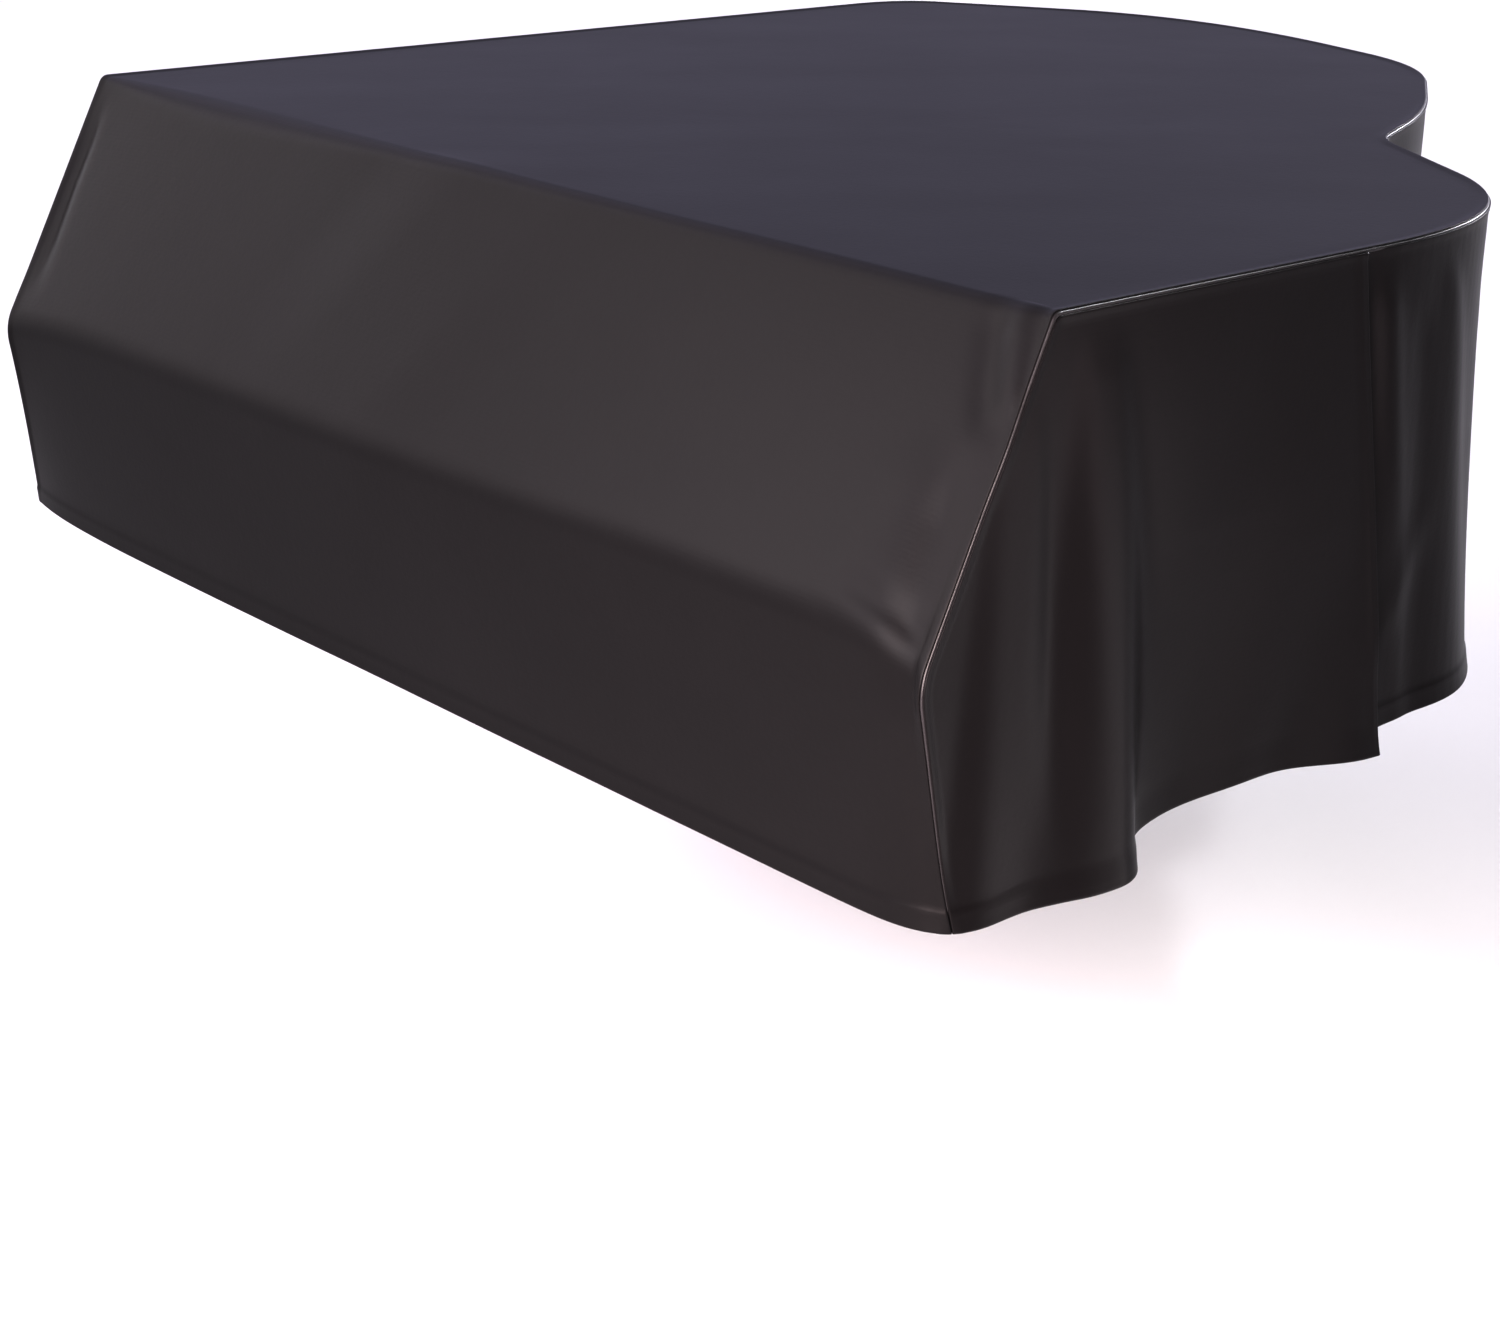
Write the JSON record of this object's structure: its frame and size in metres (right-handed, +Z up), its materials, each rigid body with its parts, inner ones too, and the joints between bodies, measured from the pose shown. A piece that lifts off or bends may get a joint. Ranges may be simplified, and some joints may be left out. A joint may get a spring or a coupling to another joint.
{
  "type": "grand piano cover",
  "caption": "Fitted cloth cover for a closed grand piano: one long cloth over top, sloping front and keyboard, side panels, and a wall round bentside, tail and spine.",
  "frame": {"origin": "on the underside of the cover's top, midway across, 650 mm behind the lid's front edge; the closed lid of the piano meets it there", "axes": "+X to the treble side, +Y from the keyboard to the tail, +Z up"},
  "size_m": [1.5798, 1.6314, 0.5119],
  "materials": {
    "top_cloth": "black satin-faced cloth, soft sheen",
    "side_cloth": "black satin-faced cloth, soft sheen",
    "piping_cloth": "black piping, a little shinier than the cloth"
  },
  "bodies": {
    "root": {"top_front_panel": "top_cloth", "treble_side_panel": "side_cloth", "bass_side_panel": "side_cloth", "back_wall_panel": "side_cloth", "seam_piping": "piping_cloth"}
  },
  "joints": []
}
